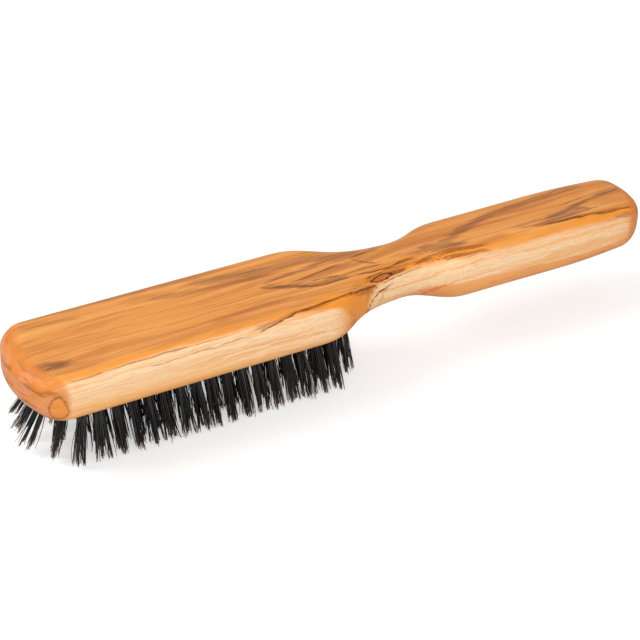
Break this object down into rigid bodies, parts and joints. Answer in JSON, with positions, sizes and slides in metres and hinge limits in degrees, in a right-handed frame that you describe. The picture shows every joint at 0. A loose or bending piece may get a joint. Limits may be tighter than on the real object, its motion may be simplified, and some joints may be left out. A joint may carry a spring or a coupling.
{
  "type": "beard brush",
  "caption": "Flat wooden hand brush with a rectangular head, waisted neck and rounded handle, and staggered rows of dark bristle tufts under the head.",
  "frame": {"origin": "under the middle of the body, on the plane that the bristle tips stand on", "axes": "+X from the toe of the head to the end of the handle, +Y across the head, +Z from the bristle tips up to the back of the head"},
  "size_m": [0.1884, 0.0326, 0.03],
  "materials": {
    "olive_wood": "oiled satin olive wood, streaked along its length",
    "bristle": "near-black boar bristle with brown split tips",
    "anchor_steel": "drawn flat steel wire, for the hidden tuft anchors"
  },
  "bodies": {
    "root": {"brush_body": "olive_wood", "tuft_row1_01": "bristle", "tuft_row1_02": "bristle", "tuft_row1_03": "bristle", "tuft_row1_04": "bristle", "tuft_row1_05": "bristle", "tuft_row1_06": "bristle", "tuft_row1_07": "bristle", "tuft_row1_08": "bristle", "tuft_row1_09": "bristle", "tuft_row1_10": "bristle", "tuft_row1_11": "bristle", "tuft_row1_12": "bristle", "tuft_row1_13": "bristle", "tuft_row1_14": "bristle", "tuft_row1_15": "bristle", "tuft_row1_16": "bristle", "tuft_row1_17": "bristle", "tuft_row2_01": "bristle", "tuft_row3_01": "bristle", "tuft_row3_02": "bristle", "tuft_row4_01": "bristle", "tuft_row5_01": "bristle", "tuft_row5_02": "bristle", "tuft_row5_03": "bristle", "tuft_row5_04": "bristle", "tuft_row5_05": "bristle", "tuft_row5_06": "bristle", "tuft_row5_07": "bristle", "tuft_row5_08": "bristle", "tuft_row5_09": "bristle", "tuft_row5_10": "bristle", "tuft_row5_11": "bristle", "tuft_row5_12": "bristle", "tuft_row5_13": "bristle", "tuft_row5_14": "bristle", "tuft_row5_15": "bristle", "tuft_row5_16": "bristle", "tuft_row5_17": "bristle", "tufts_row2_02": "bristle", "tufts_row2_03": "bristle", "tufts_row2_04": "bristle", "tufts_row2_05": "bristle", "tufts_row2_06": "bristle", "tufts_row2_07": "bristle", "tufts_row3_03": "bristle", "tufts_row3_04": "bristle", "tufts_row3_05": "bristle", "tufts_row3_06": "bristle", "tufts_row3_07": "bristle", "tufts_row3_08": "bristle", "tufts_row4_02": "bristle", "tufts_row4_03": "bristle", "tufts_row4_04": "bristle", "tufts_row4_05": "bristle", "tufts_row4_06": "bristle", "tufts_row4_07": "bristle"}
  },
  "joints": []
}
